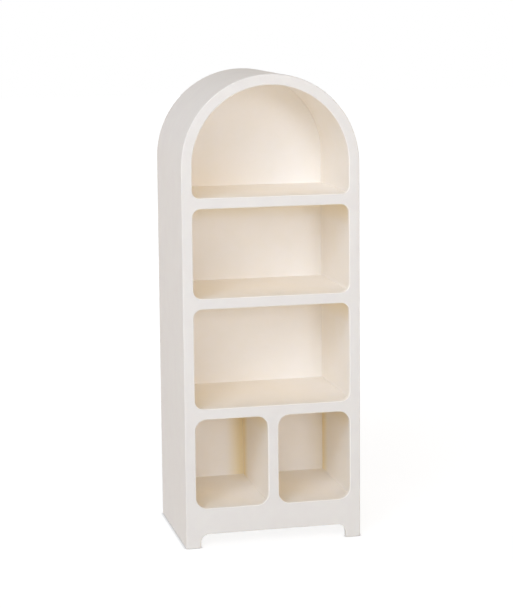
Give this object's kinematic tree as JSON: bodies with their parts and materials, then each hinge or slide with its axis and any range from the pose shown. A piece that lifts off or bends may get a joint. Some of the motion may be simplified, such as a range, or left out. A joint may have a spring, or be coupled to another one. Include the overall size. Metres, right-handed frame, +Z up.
{
  "type": "miniature bookcase",
  "caption": "Miniature bookcase with a half-round top: a flat face frame with rounded openings over a carcass of thin boards, an arched niche, wide niches and low cubbies.",
  "frame": {"origin": "on the floor, under the middle of the bookcase's width and depth", "axes": "+Z up, the open front faces -Y, +X is to the right as seen from the front"},
  "size_m": [0.07, 0.052, 0.183],
  "materials": {
    "painted_frame": "fibreboard, sealed, sanded and sprayed matt off-white",
    "painted_board": "fibreboard, brushed and sprayed matt off-white",
    "painted_ply": "bent plywood, brushed and sprayed matt off-white",
    "painted_back": "fibreboard, sprayed matt off-white",
    "bare_softwood": "sawn softwood with no finish",
    "steel_pin": "bright drawn steel wire"
  },
  "bodies": {
    "root": {"face_frame": "painted_frame", "left_side_board": "painted_board", "right_side_board": "painted_board", "outer_arch_ply": "painted_ply", "inner_arch_ply": "painted_ply", "back_panel": "painted_back", "bottom_shelf": "painted_board", "lower_shelf": "painted_board", "middle_shelf": "painted_board", "arch_shelf": "painted_board", "centre_divider": "painted_board", "front_left_glue_block": "bare_softwood", "front_right_glue_block": "bare_softwood", "rear_left_glue_block": "bare_softwood", "rear_right_glue_block": "bare_softwood", "left_side_pins": "steel_pin", "right_side_pins": "steel_pin", "face_frame_pins": "steel_pin", "back_panel_pins": "steel_pin", "divider_pins": "steel_pin"}
  },
  "joints": []
}
